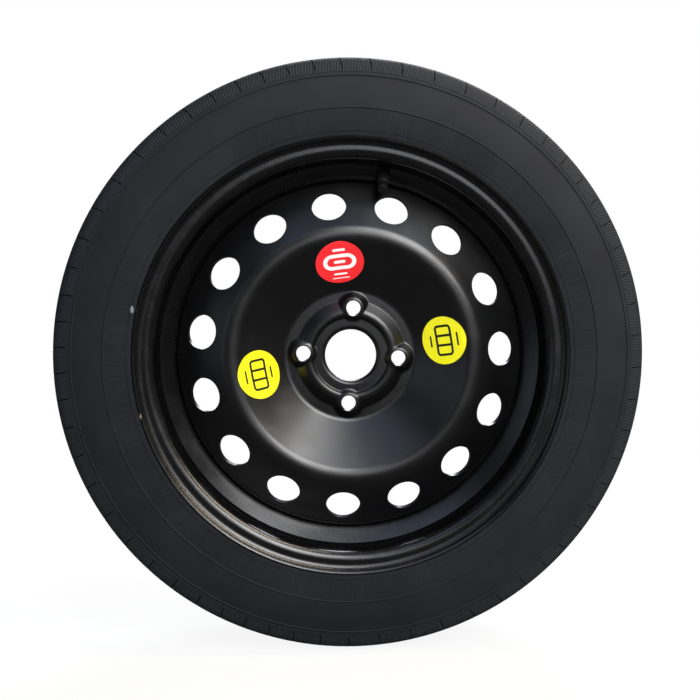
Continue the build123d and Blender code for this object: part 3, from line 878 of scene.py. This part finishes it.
body = valve_piece(BOOT_POINTS, BOOT_BENDS, VALVE_STEPS, True)
bmesh.ops.transform(body, matrix=valve_place, verts=body.verts)
settle(new_object("valve_boot", body), valve_rubber, "valve_rubber", "valve_body")

cap = valve_piece([
    (0, CAP_TOP), (CAP_R, CAP_TOP), (CAP_R, CAP_BOTTOM),
    (CAP_BORE_R, CAP_BOTTOM), (CAP_BORE_R, CAP_ROOF), (0, CAP_ROOF),
], [0.7, 0.2, 0, 0], CAP_RIBS * CAP_RIB_STEPS, False)
for vert in cap.verts:
    out = Vector((vert.co.x, vert.co.y))
    if out.length > (CAP_R - 0.1) * MM:
        step = 2 * pi / CAP_RIBS
        off_rib = (atan2(out.y, out.x) + step / 2) % step - step / 2
        rise = sqrt(max(0, CAP_RIB_R ** 2 - (CAP_R * off_rib) ** 2)) * MM
        vert.co.xy = out.normalized() * (out.length + rise)
bmesh.ops.transform(cap, matrix=valve_place, verts=cap.verts)
settle(new_object("ribbed_cap", cap), cap_plastic, "cap_plastic", "valve_cap", body="cap")

# %% [markdown]
# ## Weld beads and hidden parts
# Four arcs of weld hold the disc's skirt in the rim. Their ripples are the ends of the pools
# that the arc left one after another. The small parts inside the valve keep their CAD form, but
# the spring is wound anew: one end sits in the core's barrel and the other meets the pin.

# %% The weld beads
WELD_COUNT, WELD_ARC, WELD_LEG, WELD_THROAT = 4, 58.0, 3.4, 1.1
WELD_STEPS, WELD_FACETS, RIPPLE_COUNT, RIPPLE = 220, 6, 44, 0.25
WELD_GAP = 0.05
root_r, root_u = SKIRT_R, SKIRT_END - WELD_GAP
weld_middle = (root_r - WELD_THROAT, root_u - WELD_THROAT)
weld_face, _ = circle_through((root_r, root_u - WELD_LEG), weld_middle, (root_r - WELD_LEG, root_u))

weld_paint = electrocoat("black_electrocoat_on_weld", "#0C0C0D", 0.44)
welds = bmesh.new()
for index in range(WELD_COUNT):
    outline = [(root_r, root_u)] + [tuple(weld_face(i / WELD_FACETS)) for i in range(WELD_FACETS + 1)]
    bead = bent_wire(outline, [0] * WELD_FACETS, close=True)
    bmesh.ops.spin(
        bead, geom=bead.verts[:] + bead.edges[:], cent=(0, 0, 0), axis=(0, 1, 0),
        angle=radians(WELD_ARC), steps=WELD_STEPS,
    )
    bmesh.ops.holes_fill(bead, edges=[e for e in bead.edges if e.is_boundary])
    bmesh.ops.recalc_face_normals(bead, faces=bead.faces)
    for vert in bead.verts:
        along = atan2(-vert.co.z, vert.co.x) / radians(WELD_ARC)
        to_rim = root_r * MM - vert.co.xz.length
        to_skirt = vert.co.y + root_u * MM
        if min(to_rim, to_skirt) > 0.1 * MM:
            sunk = RIPPLE * MM * (0.5 + 0.5 * sin(2 * pi * RIPPLE_COUNT * along))
            vert.co += Vector((vert.co.x, 0, vert.co.z)).normalized() * sunk - Vector((0, sunk, 0))
    start = index * 360 / WELD_COUNT + (360 / WELD_COUNT - WELD_ARC) / 2
    bmesh.ops.rotate(bead, verts=bead.verts, matrix=Matrix.Rotation(-radians(start + WELD_ARC), 3, "Y"))
    part = bpy.data.meshes.new("bead")
    bead.to_mesh(part)
    bead.free()
    welds.from_mesh(part)
    bpy.data.meshes.remove(part)
settle(new_object("weld_beads_rippled", welds), weld_paint, "weld_paint", "weld_beads")

# %% The valve core's spring
COIL_R, COIL_WIRE_R, COIL_TURNS, COIL_STEPS = 1.1, 0.14, 4, 128
COIL_LOW, COIL_HIGH = 22.34, 26.76

coil = bmesh.new()
wire_end = Matrix.Translation((COIL_R * MM, 0, COIL_LOW * MM)) @ Matrix.Rotation(pi / 2, 4, "X")
bmesh.ops.create_circle(coil, segments=12, radius=COIL_WIRE_R * MM, matrix=wire_end)
bmesh.ops.spin(
    coil, geom=coil.verts[:] + coil.edges[:], cent=(0, 0, 0), axis=(0, 0, 1),
    dvec=(0, 0, (COIL_HIGH - COIL_LOW) / COIL_STEPS * MM), angle=2 * pi * COIL_TURNS, steps=COIL_STEPS,
)
bmesh.ops.holes_fill(coil, edges=[e for e in coil.edges if e.is_boundary])
bmesh.ops.recalc_face_normals(coil, faces=coil.faces)
bmesh.ops.transform(coil, matrix=valve_place, verts=coil.verts)
spring = new_object("wound_spring", coil)
spring.data.materials.append(spring_steel)
spring.data.polygons.foreach_set("use_smooth", [True] * len(spring.data.polygons))
spring.data.set_sharp_from_angle(angle=SHARP)
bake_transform(spring)
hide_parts("core_spring")
print(spring.name, "faces:", len(spring.data.polygons))

# %% The valve's inner parts
KEPT = {
    "valve_stem": valve_brass, "core_barrel": valve_brass, "core_pin": valve_brass,
    "core_gasket": seal_rubber, "core_cup": seal_rubber, "cap_seal": seal_rubber,
}
for node, finish in KEPT.items():
    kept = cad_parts[node]
    kept.data.materials.clear()
    kept.data.materials.append(finish)
print("kept from the CAD model:", sorted(KEPT))
